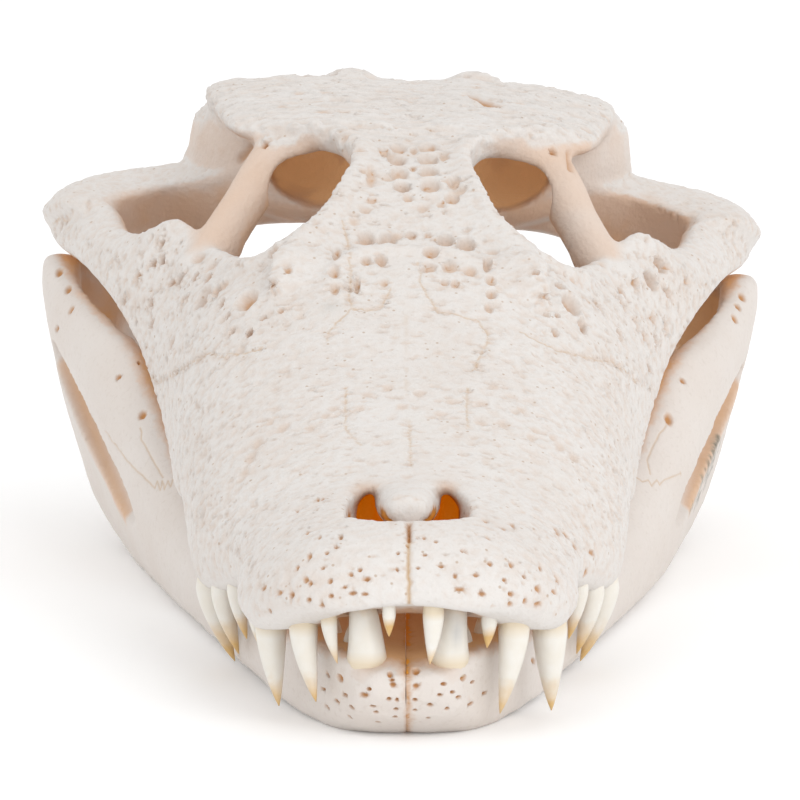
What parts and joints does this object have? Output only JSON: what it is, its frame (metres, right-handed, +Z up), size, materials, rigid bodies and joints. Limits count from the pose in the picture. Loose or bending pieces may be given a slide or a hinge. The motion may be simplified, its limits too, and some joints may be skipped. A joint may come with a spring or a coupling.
{
  "type": "spectacled caiman skull",
  "caption": "Cleaned caiman skull, jaws closed, resting on its lower jaw: pitted snout, open eye and temple windows, separate jaw halves and teeth.",
  "frame": {"origin": "on the surface that the skull rests on, under the middle of its overall length and width", "axes": "+Z up, +Y from the snout towards the back of the skull, +X to the animal's left"},
  "size_m": [0.1253, 0.2422, 0.0803],
  "materials": {
    "bone": "dry bleached bone, matte, finely pitted",
    "jaw_bone": "dry bleached bone, smooth, faint satin",
    "tooth_enamel": "tooth enamel, satin, amber at the tips"
  },
  "bodies": {
    "root": {"cranium": "bone", "mandible_left": "jaw_bone", "mandible_right": "jaw_bone", "upper_tooth_left_01": "tooth_enamel", "upper_tooth_left_02": "tooth_enamel", "upper_tooth_left_03": "tooth_enamel", "upper_tooth_left_04": "tooth_enamel", "upper_tooth_left_05": "tooth_enamel", "upper_tooth_left_06": "tooth_enamel", "upper_tooth_left_07": "tooth_enamel", "upper_tooth_left_08": "tooth_enamel", "upper_tooth_left_09": "tooth_enamel", "upper_tooth_left_10": "tooth_enamel", "upper_tooth_left_11": "tooth_enamel", "upper_tooth_left_12": "tooth_enamel", "upper_tooth_left_13": "tooth_enamel", "upper_tooth_left_14": "tooth_enamel", "upper_tooth_left_15": "tooth_enamel", "upper_tooth_left_16": "tooth_enamel", "upper_tooth_left_17": "tooth_enamel", "upper_tooth_left_18": "tooth_enamel", "upper_tooth_left_19": "tooth_enamel", "lower_tooth_left_01": "tooth_enamel", "lower_tooth_left_02": "tooth_enamel", "lower_tooth_left_03": "tooth_enamel", "lower_tooth_left_04": "tooth_enamel", "lower_tooth_left_05": "tooth_enamel", "lower_tooth_left_06": "tooth_enamel", "lower_tooth_left_07": "tooth_enamel", "lower_tooth_left_08": "tooth_enamel", "lower_tooth_left_09": "tooth_enamel", "upper_tooth_right_01": "tooth_enamel", "upper_tooth_right_02": "tooth_enamel", "upper_tooth_right_03": "tooth_enamel", "upper_tooth_right_04": "tooth_enamel", "upper_tooth_right_05": "tooth_enamel", "upper_tooth_right_06": "tooth_enamel", "upper_tooth_right_07": "tooth_enamel", "upper_tooth_right_08": "tooth_enamel", "upper_tooth_right_09": "tooth_enamel", "upper_tooth_right_10": "tooth_enamel", "upper_tooth_right_11": "tooth_enamel", "upper_tooth_right_12": "tooth_enamel", "upper_tooth_right_13": "tooth_enamel", "upper_tooth_right_14": "tooth_enamel", "upper_tooth_right_15": "tooth_enamel", "upper_tooth_right_16": "tooth_enamel", "upper_tooth_right_17": "tooth_enamel", "upper_tooth_right_18": "tooth_enamel", "upper_tooth_right_19": "tooth_enamel", "lower_tooth_right_01": "tooth_enamel", "lower_tooth_right_02": "tooth_enamel", "lower_tooth_right_03": "tooth_enamel", "lower_tooth_right_04": "tooth_enamel", "lower_tooth_right_05": "tooth_enamel", "lower_tooth_right_06": "tooth_enamel", "lower_tooth_right_07": "tooth_enamel", "lower_tooth_right_08": "tooth_enamel", "lower_tooth_right_09": "tooth_enamel"}
  },
  "joints": []
}
